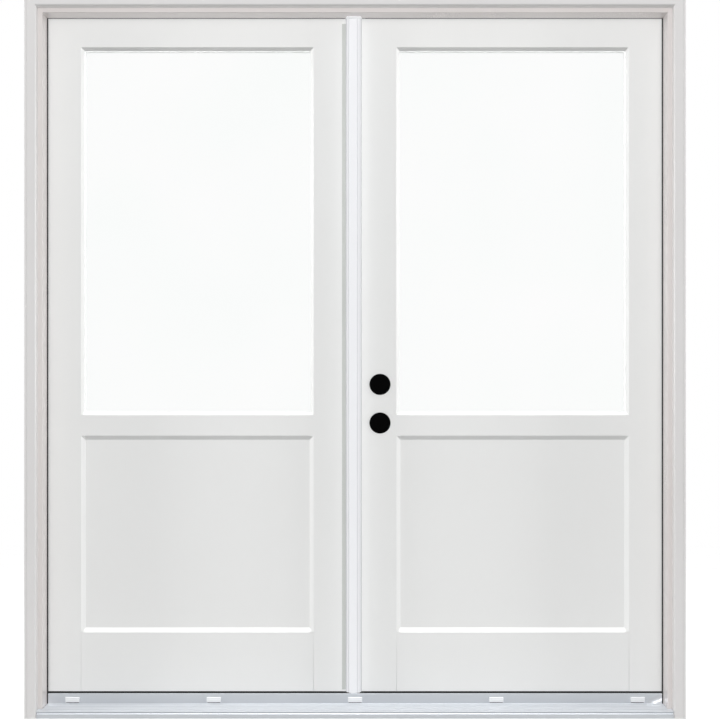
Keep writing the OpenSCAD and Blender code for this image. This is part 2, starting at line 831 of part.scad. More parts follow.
module corner_pad() {
    z0 = tread_z(riser_y);
    along_z(z0, z0 + pad_h) polygon([
        [stop_x - pad_t, riser_y], [stop_x, riser_y], [stop_x, stop_y], [rabbet_x - fit, stop_y],
        [rabbet_x - fit, strip_y], [stop_x - pad_t, strip_y],
    ]);
}

// ---------- Weatherstrip ----------

// Section at the right jamb: bulb across the rabbet, tongue in the kerf
module strip_section(proud) {
    r = 2;
    xa = stop_x - proud;
    translate([rabbet_x - kerf_w + fit, stop_y - kerf_d]) square([kerf_w - 2 * fit, kerf_d + over]);
    translate([xa + r, stop_y]) square([rabbet_x - fit - xa - r, strip_y - stop_y]);
    translate([xa, stop_y]) square([r, strip_y - stop_y - r]);
    translate([xa + r, strip_y - r]) circle(r);
}

module side_weatherstrip() {
    along_z(strip_z0, rabbet_z - fit) strip_section(strip_proud);
}

// The head's strip lies between the side ones and is cut back round the astragal
module head_weatherstrip_body() {
    end = stop_x - strip_proud;
    notch_x = max(-ast_x0, ast_x1) + 4;
    difference() {
        along_x(-end, end) translate([0, rabbet_z]) rotate(90) mirror([0, 1])
            translate([-rabbet_x, 0]) strip_section(head_strip_proud);
        block(-notch_x, notch_x, 0, leaf_y0, stop_z - head_strip_proud - over, stop_z + fit);
    }
}

// ---------- Strikes ----------

module strike_plate_box(z0, z1, grow = 0) {
    block(rod_x - strike_l / 2 - grow, rod_x + strike_l / 2 + grow,
        rod_y - strike_w / 2 - grow, rod_y + strike_w / 2 + grow, z0, z1);
}

module strike_screw_places() {
    for (s = [-1, 1]) translate([rod_x + s * (strike_l / 2 - 10), rod_y, 0]) children();
}

module strike_plate(z0, z1, face_z, turn) {
    difference() {
        strike_plate_box(z0, z1);
        rod_along_z(rod_x, rod_y, strike_hole_r, z0 - over, z1 + over);
        strike_screw_places() translate([0, 0, face_z]) rotate([turn, 0, 0]) screw(strike_screw_l, pilot);
    }
}

// ---------- Astragal ----------

// Front of the astragal in (x, y): a flat middle between two quirks, and sloping shoulders
module face_outline(grow = 0) {
    quirk_w = 2.6;
    quirk_d = 1.5;
    flat_x0 = ast_x0 + 10;
    flat_x1 = ast_x1 - 14;
    side_y = ast_y0 + 5; // where the straight sides start
    corner_w = 2;
    corner_y = ast_y0 + 2 - grow;
    brow_y = ast_y0 + 1.2 - grow; // level of the shoulders beside the quirks
    polygon([
        [ast_x0 - grow, ast_y1], [ast_x0 - grow, side_y], [ast_x0 + corner_w, corner_y],
        [flat_x0 - quirk_w, brow_y], [flat_x0 - quirk_w / 2, brow_y + quirk_d],
        [flat_x0, ast_y0 - grow], [flat_x1, ast_y0 - grow],
        [flat_x1 + quirk_w / 2, brow_y + quirk_d], [flat_x1 + quirk_w, brow_y],
        [ast_x1 - corner_w, corner_y], [ast_x1 + grow, side_y], [ast_x1 + grow, ast_y1],
    ]);
}

module web_section(front) {
    difference() {
        translate([web_x0, front]) square([web_x1 - web_x0, web_y1 - front]);
        translate([channel_x0, channel_y0]) square([channel_x1 - channel_x0, channel_y1 - channel_y0]);
        translate([channel_x1 - over, mouth_y0]) square([ast_wall + 2 * over, mouth_y1 - mouth_y0]);
    }
}

// Rounds off the lower corners of the face, seen from the front
module lower_end() {
    half = ast_w / 2;
    r = (half * half + ast_round * ast_round) / (2 * ast_round);
    along_y(ast_y0 - over, leaf_y0) {
        translate([ast_x0 + half, ast_z0 + r]) circle(r, $fn = 128);
        translate([ast_x0 - over, ast_z0 + r]) square([ast_w + 2 * over, leaf_h]);
        translate([ast_x0 - over, ast_z0 + ast_round + over]) square([ast_w + 2 * over, r]);
    }
}

module astragal_face() {
    face_hollow_y = ast_y0 + 7; // behind the quirks
    intersection() {
        along_z(ast_z0, ast_z1) {
            difference() {
                face_outline();
                translate([ast_x0 + ast_wall, face_hollow_y])
                    square([ast_w - 2 * ast_wall, ast_y1 - ast_wall - face_hollow_y]);
            }
            // leg that closes the gap to the passive leaf
            translate([ast_x0, ast_y1 - over]) square([ast_wall, leaf_y0 - ast_y1 + over]);
        }
        lower_end();
    }
}

// Channel between the leaves; above the face's end it is as deep as the leaves alone
module astragal_web_body() {
    difference() {
        union() {
            along_z(web_z0, ast_z1) web_section(ast_y1);
            along_z(ast_z1, web_z1) web_section(leaf_y0);
        }
        astragal_screw_places() screw(astragal_screw_l, pilot);
    }
}

// Lid on the face's top, with sloping corners
module astragal_cap_body() {
    rim = 0.8;
    z1 = ast_z1 + ast_cap_t;
    corner = 4;
    intersection() {
        along_z(ast_z1, z1) face_outline(rim);
        along_y(ast_y0 - over - rim, leaf_y0) polygon([
            [ast_x0 - rim, ast_z1], [ast_x1 + rim, ast_z1], [ast_x1 + rim, z1 - corner],
            [ast_x1 + rim - corner, z1], [ast_x0 - rim + corner, z1], [ast_x0 - rim, z1 - corner],
        ]);
    }
}

// The seal behind the face, the strip beside it and the lid of the channel
module astragal_trim_body() {
    seal_inset = 0.6;
    strip_end = 8; // how far the side strip ends below the face's top
    lid_z0 = slide_bottom + slide_l + bolt_travel;
    lid_z1 = slide_top - slide_l - bolt_travel;
    lid_t = 2.2;
    lid_lap = 2;
    block(leaf_x0 + 0.2, ast_x1 - seal_inset, ast_y1, leaf_y0 - fit, ast_z0 + ast_round, ast_z1);
    block(ast_x0 - fit - side_strip_w, ast_x0 - fit, leaf_y0 - side_strip_t, leaf_y0,
        ast_z0 + ast_round, ast_z1 - strip_end);
    block(channel_x1 - lid_t + over, web_x1 - fit, mouth_y0 + fit, mouth_y1 - fit, lid_z0, lid_z1);
    block(channel_x1 - lid_t, channel_x1, mouth_y0 - lid_lap, mouth_y1 + lid_lap, lid_z0, lid_z1);
}

module astragal_screw_places() {
    from_end = 300;
    last = 5;
    step = (web_z1 - web_z0 - 2 * from_end) / last;
    for (i = [0 : last]) translate([channel_x0, rod_y, web_z0 + from_end + i * step])
        rotate([0, 90, 0]) children();
}

// ---------- Flush bolts ----------

module guide(z0, z1, inner_z0, inner_z1) {
    difference() {
        union() {
            block(web_x0 + fit, web_x1, leaf_y0, web_y1, z0, z1);
            block(channel_x0 + fit, channel_x1 - fit, channel_y0 + fit, channel_y1 - fit,
                inner_z0, inner_z1);
        }
        rod_along_z(rod_x, rod_y, rod_d / 2 + running, min(z0, inner_z0) - over, max(z1, inner_z1) + over);
    }
}

module bolt_guides_body() {
    guide(web_z1, leaf_z1 - end_gap, web_z1 - spigot_l, web_z1 + over);
    guide(leaf_z0 + end_gap, web_z0, web_z0 - over, web_z0 + spigot_l);
}

// Slide block in the web's channel, with a finger tab in its mouth
module bolt(slide_z0, tip_z) {
    pocket_l = 36; // half the length of the finger pocket
    pocket_d = 6;
    tab_h = 8;
    mid = slide_z0 + slide_l / 2;
    difference() {
        block(channel_x0 + fit, channel_x1 - fit, channel_y0 + fit, channel_y1 - fit,
            slide_z0, slide_z0 + slide_l);
        block(channel_x1 - pocket_d, channel_x1 + over, mouth_y0 + 3, mouth_y1 - 3,
            mid - pocket_l, mid + pocket_l);
    }
    block(channel_x1 - pocket_d - over, web_x1 - 2 * fit, mouth_y0 + 4, mouth_y1 - 4,
        mid - tab_h / 2, mid + tab_h / 2);
    rod_along_z(rod_x, rod_y, rod_d / 2, min(mid + slide_l / 3, tip_z), max(mid - slide_l / 3, tip_z));
}

// ---------- Lock bores ----------

module lock_cuts() {
    for (z = lock_z) {
        rod_along_y(lock_x, z, bore_d / 2, leaf_y0 - over, leaf_y1 + over);
        translate([leaf_x0 - over, leaf_y0 + leaf_t / 2, z]) rotate([0, 90, 0])
            cylinder(h = backset, r = latch_d / 2);
    }
}

// Stuck on by its rim, and hollow behind, so that nothing stands in the bore
module bore_cover(z) {
    difference() {
        rod_along_y(lock_x, z, cover_d / 2, leaf_y0 - cover_t, leaf_y0);
        rod_along_y(lock_x, z, bore_d / 2 + fit, leaf_y0 - cover_t + cover_wall, leaf_y0 + over);
    }
}

// ---------- Nodes ----------

module left_jamb() { color(frame_paint) on_left() side_jamb(); }
module right_jamb() { color(frame_paint) side_jamb(); }
module head_jamb() { color(frame_paint) head_jamb_body(); }
module left_casing() { color(frame_paint) on_left() side_casing(); }
module right_casing() { color(frame_paint) side_casing(); }
module head_casing() { color(frame_paint) head_casing_body(); }
module sill_base() { color("#3d3d40") sill_base_body(); }
module sill_extrusion() { color(aluminium) sill_extrusion_body(); }
module threshold_cap() { color("#2b2b2e") threshold_cap_body(); }
module weep_covers() { color("white") weep_places() weep_cover(); }
module corner_pads() { color(black) both_sides() corner_pad(); }
module left_weatherstrip() { color(black) on_left() side_weatherstrip(); }
module right_weatherstrip() { color(black) side_weatherstrip(); }
module head_weatherstrip() { color(black) head_weatherstrip_body(); }
module head_strike() {
    color(nickel) strike_plate(rabbet_z, rabbet_z + strike_t, rabbet_z, 180);
}
module sill_strike() {
    color(nickel) strike_plate(sill_h - strike_t, sill_h, sill_h, 0);
}
module strike_screws() {
    color(nickel) strike_screw_places() {
        translate([0, 0, rabbet_z]) rotate([180, 0, 0]) screw(strike_screw_l);
        translate([0, 0, sill_h]) screw(strike_screw_l);
    }
}
module frame_screws() { color(nickel) both_sides() head_screw_places() screw(head_screw_l); }
module sill_screws() { color(nickel) both_sides() sill_screw_places() screw(sill_screw_l); }
module left_frame_hinges() { color(nickel) on_left() frame_hinges(); }
module right_frame_hinges() { color(nickel) frame_hinges(); }
module hinge_pins() { color(nickel) both_sides() pins_of_one_side(); }
module jamb_hinge_screws() { color(nickel) both_sides() jamb_screws_of_one_side(); }

module active_hinge_stile() { color(paint) hinge_stile(); }
module active_meeting_stile() { color(paint) meeting_stile() lock_cuts(); }
module active_top_rail() { color(paint) top_rail(); }
module active_lock_rail() { color(paint) lock_rail(); }
module active_bottom_rail() { color(paint) bottom_rail(); }
module active_panel() { color(paint) panel(); }
module active_outer_pane() { color(clear) pane(pane1_y); }
module active_spacer() { color("#9a9da0") spacer(); }
module active_inner_pane() { color(clear) pane(pane2_y); }
module active_glazing_tape() { color(cool_white) glazing_tape(); }
module active_glazing_beads() { color(paint) glazing_beads(); }
module active_sweep() { color(black) sweep(); }
module active_hinges() { color(nickel) leaf_hinges(); }
module active_hinge_screws() { color(nickel) leaf_hinge_screws(); }
module bore_covers() { color(black) for (z = lock_z) bore_cover(z); }

module passive_hinge_stile() { color(paint) on_left() hinge_stile(); }
module passive_meeting_stile() {
    color(paint) on_left() meeting_stile() on_left() astragal_screw_places() screw(astragal_screw_l, pilot);
}
module passive_top_rail() { color(paint) on_left() top_rail(); }
module passive_lock_rail() { color(paint) on_left() lock_rail(); }
module passive_bottom_rail() { color(paint) on_left() bottom_rail(); }
module passive_panel() { color(paint) on_left() panel(); }
module passive_outer_pane() { color(clear) on_left() pane(pane1_y); }
module passive_spacer() { color("#9a9da0") on_left() spacer(); }
module passive_inner_pane() { color(clear) on_left() pane(pane2_y); }
module passive_glazing_tape() { color(cool_white) on_left() glazing_tape(); }
module passive_glazing_beads() { color(paint) on_left() glazing_beads(); }
module passive_sweep() { color(black) on_left() sweep(); }
module passive_hinges() { color(nickel) on_left() leaf_hinges(); }
module passive_hinge_screws() { color(nickel) on_left() leaf_hinge_screws(); }

module astragal() { color(cool_white) astragal_face(); }
module astragal_web() { color(cool_white) astragal_web_body(); }
module astragal_cap() { color("white") astragal_cap_body(); }
module astragal_trim() { color("#c4c8c0") astragal_trim_body(); }
module astragal_screws() { color(nickel) astragal_screw_places() screw(astragal_screw_l); }
module bolt_guides() { color("white") bolt_guides_body(); }
module top_bolt() { color(nickel) bolt(slide_top - slide_l, leaf_z1 - end_gap); }
module bottom_bolt() { color(nickel) bolt(slide_bottom, leaf_z0 + end_gap); }

left_jamb();
right_jamb();
head_jamb();
left_casing();
right_casing();
head_casing();
sill_base();
sill_extrusion();
threshold_cap();
weep_covers();
corner_pads();
left_weatherstrip();
right_weatherstrip();
head_weatherstrip();
head_strike();
sill_strike();
strike_screws();
frame_screws();
sill_screws();
left_frame_hinges();
right_frame_hinges();
hinge_pins();
jamb_hinge_screws();
active_hinge_stile();
active_meeting_stile();
active_top_rail();
active_lock_rail();
active_bottom_rail();
active_panel();
active_outer_pane();
active_spacer();
active_inner_pane();
active_glazing_tape();
active_glazing_beads();
active_sweep();
active_hinges();
active_hinge_screws();
bore_covers();
passive_hinge_stile();
passive_meeting_stile();
passive_top_rail();
passive_lock_rail();
passive_bottom_rail();
passive_panel();
passive_outer_pane();
passive_spacer();
passive_inner_pane();
passive_glazing_tape();
passive_glazing_beads();
passive_sweep();
passive_hinges();
passive_hinge_screws();
astragal();
astragal_web();
astragal_cap();
astragal_trim();
astragal_screws();
bolt_guides();
top_bolt();
bottom_bolt();
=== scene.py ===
# %% [markdown]
# # Inswing french doors in their frame
# Two half-lite leaves, a T-astragal, a ribbed aluminium sill and a narrow casing. The solids come
# from the construction model and keep their exact places. This lesson gives them their looks:
# rounded edges that catch the light, and a finish for each material of the real unit. First the
# frame is loaded.

# %% Load the frame
import json
import math

import bmesh
import bpy
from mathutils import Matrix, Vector

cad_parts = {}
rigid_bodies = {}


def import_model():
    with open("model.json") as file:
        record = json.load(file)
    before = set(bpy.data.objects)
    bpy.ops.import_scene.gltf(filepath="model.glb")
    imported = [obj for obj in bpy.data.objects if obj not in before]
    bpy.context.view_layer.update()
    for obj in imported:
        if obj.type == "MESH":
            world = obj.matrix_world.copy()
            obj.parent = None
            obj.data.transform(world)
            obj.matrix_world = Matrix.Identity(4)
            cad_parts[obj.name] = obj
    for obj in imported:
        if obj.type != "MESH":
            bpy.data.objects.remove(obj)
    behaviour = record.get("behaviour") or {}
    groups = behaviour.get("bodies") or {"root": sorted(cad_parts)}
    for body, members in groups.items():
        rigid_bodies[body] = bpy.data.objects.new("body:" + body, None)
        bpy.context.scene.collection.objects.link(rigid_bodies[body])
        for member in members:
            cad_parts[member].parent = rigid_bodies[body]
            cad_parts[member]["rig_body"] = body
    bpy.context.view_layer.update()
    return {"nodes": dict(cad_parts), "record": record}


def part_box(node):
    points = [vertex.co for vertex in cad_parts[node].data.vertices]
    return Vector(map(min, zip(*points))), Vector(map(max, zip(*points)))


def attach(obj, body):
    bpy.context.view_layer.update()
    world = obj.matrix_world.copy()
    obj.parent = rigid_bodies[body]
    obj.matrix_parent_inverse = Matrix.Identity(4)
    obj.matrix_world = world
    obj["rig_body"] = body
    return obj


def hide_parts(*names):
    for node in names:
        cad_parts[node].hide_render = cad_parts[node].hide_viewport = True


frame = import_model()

MM = 0.001

# %% [markdown]
# ## A pen for shader maths
# A finish is a small formula: a pattern, scaled and offset, steers a colour or a gloss. Wiring
# nodes by hand hides that formula. So one class wraps a socket, and plain Python operators on it
# add Math nodes. One method adds any other node. Colours are blended by a Mix node, because
# a Math node would turn them grey.


# %% The pen
class Ink:
    """A node socket that can be added, multiplied and blended."""

    def __init__(self, tree, socket=None):
        self.tree, self.socket = tree, socket

    def make(self, kind, inputs=None, stops=None, out=0, **settings):
        """Add a node: its settings first, then a ramp's stops, then its inputs."""
        node = self.tree.nodes.new(kind)
        for name, value in settings.items():
            setattr(node, name, value)
        if stops:
            ramp = node.color_ramp
            while len(ramp.elements) < len(stops):
                ramp.elements.new(0.5)
            for element, (place, level) in zip(ramp.elements, stops):
                element.position, element.color = place, (level, level, level, 1)
        for name, value in (inputs or {}).items():
            if isinstance(value, Ink):
                self.tree.links.new(value.socket, node.inputs[name])
            else:
                node.inputs[name].default_value = value
        return Ink(self.tree, node.outputs[out])

    def math(self, operation, a, b):
        return self.make("ShaderNodeMath", {0: a, 1: b}, operation=operation)

    def __add__(self, other):
        return self.math("ADD", self, other)

    def __sub__(self, other):
        return self.math("SUBTRACT", self, other)

    def __rsub__(self, other):
        return self.math("SUBTRACT", other, self)

    def __mul__(self, other):
        return self.math("MULTIPLY", self, other)

    __radd__, __rmul__ = __add__, __mul__

    def blend(self, low, high):
        """The colour low where this value is 0, and high where it is 1."""
        return self.make(
            "ShaderNodeMix", {0: self, 6: low, 7: high}, out=2, data_type="RGBA"
        )

    def noise(self, scale, stretch=(1, 1, 1), detail=3.0, rough=0.5):
        """Cloudy noise from 0 to 1, with scale features to a metre."""
        place = self.make("ShaderNodeTexCoord", out="Object")
        place = self.make("ShaderNodeMapping", {"Vector": place, "Scale": stretch})
        wave = {"Vector": place, "Scale": scale, "Detail": detail, "Roughness": rough}
        return self.make("ShaderNodeTexNoise", wave)

    def cells(self, scale):
        """Distance to the nearest of many scattered points, in cells."""
        place = self.make("ShaderNodeTexCoord", out="Object")
        return self.make("ShaderNodeTexVoronoi", {"Vector": place, "Scale": scale})

    def step(self, low, high):
        """0 below low, 1 above high, and a straight rise between."""
        return self.make("ShaderNodeValToRGB", {0: self}, stops=[(low, 0), (high, 1)])


# %% [markdown]
# ## One maker for every finish
# Every finish here has the same three layers: a colour that drifts a little over the piece,
# a gloss that drifts too, and a fine relief. What tells paint from rubber or brushed metal is the
# size, direction and depth of those layers. So one function builds the shader, and each finish
# passes its own patterns to it. Values that don't vary are set on the shader's own sockets.


# %% The maker
finishes = {}
# Painted shade: the grey that the astragal's quirks are darkened towards.
PAINTED_SHADE_GREY = (0.5, 0.505, 0.53, 1)
PATCHES_PER_METRE = 2.2
RELIEF_SHARE = 0.3  # how far the patches follow the relief
BUMP_STRENGTH = 0.6


def finish(slot, light, dark, gloss, relief, depth, painted_shade=None, **constants):
    """A material for one slot. light and dark are colours, gloss the lowest and highest
    roughness; relief(pen) gives the height pattern, and depth its height in metres. The last
    pattern, if given, says where painted shade greys the colour."""
    material = bpy.data.materials.new(slot)
    material.use_nodes = True
    tree = material.node_tree
    shader = tree.nodes["Principled BSDF"]
    pen = Ink(tree)
    drift = pen.noise(PATCHES_PER_METRE, detail=2.0)
    height = relief(pen)
    patch = (drift * (1 - RELIEF_SHARE) + height * RELIEF_SHARE).step(0.3, 0.7)
    colour = patch.blend((*dark, 1), (*light, 1))
    # Painted shade: where the pattern is 1, the colour turns to that grey.
    if painted_shade:
        colour = painted_shade(pen).blend(colour, PAINTED_SHADE_GREY)
    rough = (1 - patch) * (gloss[1] - gloss[0]) + gloss[0]
    bump = pen.make(
        "ShaderNodeBump", {"Height": height, "Distance": depth, "Strength": BUMP_STRENGTH}
    )
    for name, ink in (("Base Color", colour), ("Roughness", rough), ("Normal", bump)):
        tree.links.new(ink.socket, shader.inputs[name])
    for name, value in constants.items():
        shader.inputs[name.replace("_", " ")].default_value = value
    finishes[slot] = material
    print("finish", slot, len(tree.nodes), "nodes")
    return material


# %% [markdown]
# ## Paint
# The leaves are sprayed with a satin white, which leaves a fine orange peel of about a millimetre.
# The jambs carry a slightly warmer, pinker primer coat, brushed along their length, and the
# casing is vinyl in nearly the same tone. Streaks come from noise that is stretched along Z. The
# astragal is a coated extrusion. Its quirks and rounded edges, a few millimetres behind its face,
# are greyed as painted shade, where the grooves would shade themselves. A ramp works from 0 to 1,
# so depths behind the face are taken as shares of 10 mm.


# %% The painted finishes
RAMP_DEPTH = 10 * MM
# The depths behind the astragal's face where painted shade darkens the quirks.
PAINTED_SHADE_DEPTHS = (1.3 * MM, 3 * MM, 5 * MM, 7 * MM)  # starts, is full, thins, ends


def orange_peel(pen):
    return pen.noise(750, detail=2.0) * 0.7 + pen.noise(60, (1, 1, 0.15)) * 0.3


def brushed_coat(pen):
    return pen.noise(420, (1, 1, 0.06), detail=4.0) * 0.6 + pen.noise(900) * 0.4


def fine_peel(pen):
    return pen.noise(1300, detail=1.0)


def quirk_painted_shade(pen):
    """1 in the middle of the depths behind the astragal's face that get painted shade, 0 before
    and beyond.
    """
    place = pen.make("ShaderNodeTexCoord", out="Object")
    behind = pen.make("ShaderNodeSeparateXYZ", {0: place}, out="Y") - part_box("astragal")[0].y
    reach = behind * (1 / RAMP_DEPTH)
    starts, full, thins, ends = (depth / RAMP_DEPTH for depth in PAINTED_SHADE_DEPTHS)
    return reach.step(starts, full) * (1 - reach.step(thins, ends))


finish(
    "leaf_paint",
    (0.845, 0.85, 0.843), (0.825, 0.829, 0.821), (0.3, 0.42), orange_peel, 0.06 * MM,
)
finish(
    "frame_paint",
    (0.71, 0.672, 0.66), (0.685, 0.648, 0.635), (0.2, 0.3), brushed_coat, 0.05 * MM,
)
finish(
    "casing_vinyl",
    (0.725, 0.715, 0.712), (0.70, 0.688, 0.684), (0.2, 0.28), fine_peel, 0.03 * MM,
)
# The astragal gets painted shade in its quirks.
finish(
    "astragal_coating",
    (0.91, 0.92, 0.945), (0.895, 0.90, 0.925), (0.24, 0.34), fine_peel, 0.04 * MM, quirk_painted_shade,
)

# %% [markdown]
# ## Plastics, rubber and seals
# Moulded white plastic is smooth and glossier than the paint. Rubber has a grainy, dull skin, and
# foam shows its open cells, so its relief comes from scattered cells instead of noise. The
# composite under the sill is a dark grey with small lighter specks.


# %% The plastics
def grainy(pen):
    return pen.noise(1800, detail=4.0, rough=0.7)


def foam(pen):
    return pen.cells(1100).step(0.05, 0.6)


def specks(pen):
    return 1 - pen.cells(420).step(0.1, 0.35)


finish(
    "white_plastic",
    (0.84, 0.85, 0.87), (0.82, 0.83, 0.85), (0.2, 0.28), fine_peel, 0.03 * MM,
)
finish(
    "white_vinyl",
    (0.80, 0.81, 0.815), (0.78, 0.79, 0.795), (0.4, 0.5), fine_peel, 0.04 * MM,
)
finish(
    "black_seal",
    (0.02, 0.02, 0.022), (0.013, 0.013, 0.014), (0.55, 0.75), foam, 0.12 * MM,
)
# The black plastic is nearly pure black with almost no gloss, so that the bore covers show as the
# dark inside of open lock bores: painted shade.
finish(
    "black_plastic",
    (0.0012, 0.0012, 0.0013), (0.0008, 0.0008, 0.0008), (0.6, 0.75), grainy, 0.04 * MM,
    Specular_IOR_Level=0.03,
)
finish(
    "sill_composite",
    (0.085, 0.085, 0.09), (0.055, 0.055, 0.06), (0.5, 0.65), specks, 0.08 * MM,
)
# The astragal seal is the grey strip on the passive leaf beside the astragal. Its grey is painted
# shadow: it stands for the shadow that the astragal casts there.
finish(
    "astragal_seal",
    (0.55, 0.565, 0.545), (0.50, 0.515, 0.495), (0.6, 0.75), foam, 0.15 * MM,
)

# %% [markdown]
# ## Metals
# The sill is extruded aluminium with a bluish anodised skin. Its die lines run along X, so its
# noise is stretched in X. Hinges, strikes and bolts are satin nickel, brushed along their length.


# %% The metals
def die_lines(pen):
    return pen.noise(1500, (0.01, 1, 1), detail=4.0) * 0.7 + pen.noise(1200) * 0.3


def brushing(pen):
    return pen.noise(2200, (1, 1, 0.03), detail=3.0)


finish(
    "sill_aluminium",
    (0.655, 0.68, 0.715), (0.62, 0.645, 0.68), (0.28, 0.4), die_lines, 0.03 * MM,
    Metallic=0.35,
)
finish(
    "spacer_metal",
    (0.86, 0.87, 0.875), (0.82, 0.83, 0.835), (0.4, 0.5), brushing, 0.02 * MM,
    Metallic=0.2,
)
finish(
    "strike_steel",
    (0.66, 0.65, 0.63), (0.58, 0.57, 0.55), (0.22, 0.38), brushing, 0.02 * MM,
    Metallic=1.0,
)
finish(
    "hinge_metal",
    (0.68, 0.655, 0.615), (0.60, 0.575, 0.535), (0.22, 0.36), brushing, 0.02 * MM,
    Metallic=1.0,
)


# %% [markdown]
# ## Glass
# Each leaf holds a sealed unit of two clear panes. Real float glass bends light only a little and
# takes a faint green tint from its thickness. A few soft smears change its gloss, so that the
# panes don't look like holes. A lamp's light passes straight through the panes, because a path
# tracer can't otherwise find the lamps through them, and all that lies behind would go dark.


# %% The glass
def smears(pen):
    return pen.noise(3.5, (1, 1, 0.4), detail=3.0)


glass = finish(
    "clear_glass",
    (1.0, 1.0, 1.0), (0.985, 0.995, 0.99), (0.0, 0.012), smears, 0.0,
    Transmission_Weight=1.0, IOR=1.45,
)
pen = Ink(glass.node_tree)
surface = pen.make("ShaderNodeMixShader", {
    0: pen.make("ShaderNodeLightPath", out="Is Shadow Ray"),
    1: Ink(pen.tree, pen.tree.nodes["Principled BSDF"].outputs["BSDF"]),
    2: pen.make("ShaderNodeBsdfTransparent"),
})
pen.tree.links.new(surface.socket, pen.tree.nodes["Material Output"].inputs["Surface"])

# %% [markdown]
# ## Finishes on the pieces
# The record of the part says which material each piece is made of, so one loop dresses them all.

# %% Dress every piece
slot_of = {row["node"]: row["material_slot"] for row in frame["record"]["subparts"]}
for name, piece in frame["nodes"].items():
    if not piece.material_slots:
        piece.data.materials.append(None)
    for place in piece.material_slots:
        place.material = finishes[slot_of[name]]
print("dressed", len(frame["nodes"]), "pieces in", len(set(slot_of.values())), "finishes")

# %% [markdown]
# ## Rounded edges
# A real edge is never perfectly sharp: paint, extrusion dies and sandpaper round it, and the
# rounding draws the bright lines by which the eye reads a frame. The construction solids are
# sharp, so a copy of each is merged, its flat faces are joined up, and the edges to be rounded
# get a bevel weight. A Bevel modifier then rounds just those and keeps the large faces flat. Only
# outer edges are rounded, since a brush or a die leaves inner corners crisp. The edge of a narrow
# face, such as a rib's top, is rounded less: its weight is held to a share of that face's width,
# so that two roundings never meet. A second modifier lets the larger face at each corner set the
# shading, which keeps the big faces even.


# %% The edge rounder
WELD = 0.002 * MM
FLAT_WITHIN = math.radians(0.5)
SHARP_FROM = math.radians(28)
NARROW_SHARE = 0.35


def face_depth(face, edge):
    """How far a face reaches from one of its edges."""
    a, b = (v.co for v in edge.verts)
    along = (b - a).normalized()
    return max((v.co - a).cross(along).length for v in face.verts)


def softened(name, width, segments=2, chosen=lambda a, b: True):
    """A copy of a node with rounded edges, which stands for the node. chosen says, from an
    edge's two ends, whether it is rounded."""
    source = frame["nodes"][name]
    shape = bmesh.new()
    shape.from_mesh(source.data)
    bmesh.ops.remove_doubles(shape, verts=shape.verts, dist=WELD)
    bmesh.ops.dissolve_limit(
        shape, angle_limit=FLAT_WITHIN, verts=shape.verts, edges=shape.edges
    )
    weight = shape.edges.layers.float.new("bevel_weight_edge")
    rounded = 0
    for edge in shape.edges:
        if edge.calc_face_angle(math.pi) < SHARP_FROM:
            continue
        if edge.is_convex and chosen(*(v.co for v in edge.verts)):
            depth = min(face_depth(face, edge) for face in edge.link_faces)
            edge[weight] = min(1.0, NARROW_SHARE * depth / width)
            rounded += 1
        else:
            edge.smooth = False
    for face in shape.faces:
        face.smooth = True
    mesh = bpy.data.meshes.new(name + "_soft")
    shape.to_mesh(mesh)
    shape.free()
    mesh.materials.append(finishes[slot_of[name]])
    piece = bpy.data.objects.new(name + "_soft", mesh)
    bpy.context.scene.collection.objects.link(piece)
    bevel = piece.modifiers.new("Rounding", "BEVEL")
    bevel.width, bevel.segments, bevel.limit_method = width, segments, "WEIGHT"
    bevel.use_clamp_overlap = False
    shading = piece.modifiers.new("Even shading", "WEIGHTED_NORMAL")
    shading.weight, shading.keep_sharp = 100, True
    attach(piece, source["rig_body"])
    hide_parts(name)
    print(name, "rounded", rounded, "edges by", round(width / MM, 2), "mm")
    return piece


# %% [markdown]
# ## The leaves
# Stiles and rails are glued flush and painted over, so their joints hardly show. Only beside the
# bottom rail does the paint crack into a fine line. The edges that lie in a joint are therefore
# left sharp, except there. So are the mouldings' inner edges, which bear on panel and glass.

# %% Round the leaves
rail_low, rail_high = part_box("active_bottom_rail")
panel_bottom = rail_high.z
joint_planes = (rail_low.x, rail_high.x)
leaf_planes = (rail_low.y, rail_high.y)
ON_PLANE = 0.1 * MM  # both ends of an edge together lie within this of a plane


def at_one_of(planes, a, b):
    return any(abs(a - plane) + abs(b - plane) < ON_PLANE for plane in planes)


def open_edge(a, b):
    """True on the leaf's two large faces, but not in a joint between a stile and a rail."""
    in_joint = at_one_of(joint_planes, abs(a.x), abs(b.x))
    low = max(a.z, b.z) < panel_bottom + 1 * MM
    return at_one_of(leaf_planes, a.y, b.y) and (low or not in_joint)


for side in ("active", "passive"):
    for part in ("hinge_stile", "meeting_stile", "top_rail", "lock_rail", "bottom_rail"):
        softened(f"{side}_{part}", 0.9 * MM, chosen=open_edge)
    softened(f"{side}_glazing_beads", 0.8 * MM)

# %% [markdown]
# ## Frame, casing and sill
# The jambs' corners are eased more than the leaves', and the casing's arris is the roundest of
# all. Only their long arrises are rounded, since they were milled before they were cut to length
# and mitred. On the sill the ribs and the lip shine along their whole length.


# %% Round the frame
LONG_ARRIS = 100 * MM


def long_edge(a, b):
    return (a - b).length > LONG_ARRIS


for name in ("left_jamb", "right_jamb", "head_jamb"):
    softened(name, 1.5 * MM, 3, long_edge)
for name in ("left_casing", "right_casing", "head_casing"):
    softened(name, 2.0 * MM, 3, long_edge)
softened("sill_extrusion", 1.2 * MM, 3)
softened("threshold_cap", 1.5 * MM, 3)
softened("weep_covers", 0.8 * MM)

# %% [markdown]
# ## Astragal and small hardware
# The astragal's web is rounded less than its face, and its cap more. Stamped and turned metal
# keeps just a broken edge. The covers over the lock bores get a finer rounding, since a disc's
# rim is seen all round.

